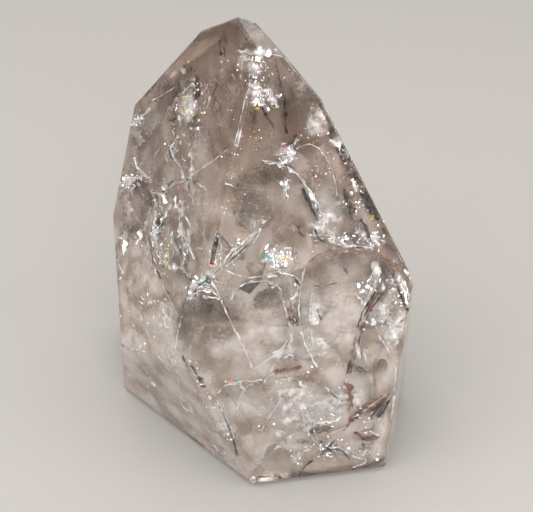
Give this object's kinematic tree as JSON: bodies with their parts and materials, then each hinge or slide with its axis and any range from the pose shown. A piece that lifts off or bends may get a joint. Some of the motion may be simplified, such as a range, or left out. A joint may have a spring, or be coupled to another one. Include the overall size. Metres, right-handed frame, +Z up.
{
  "type": "quartz point",
  "caption": "Polished clear quartz point with flat ground facets rising to a blunt tip and a flat base, for display standing upright.",
  "frame": {"origin": "middle of the outline seen from above, on the flat ground base", "axes": "+Z up from the base towards the tip, -Y out of the broad front facet, +X to the right seen from the front"},
  "size_m": [0.0546, 0.0458, 0.074],
  "materials": {
    "clear_quartz": "polished clear stone with a faint grey mauve cast"
  },
  "bodies": {
    "root": {"quartz_point": "clear_quartz"}
  },
  "joints": []
}
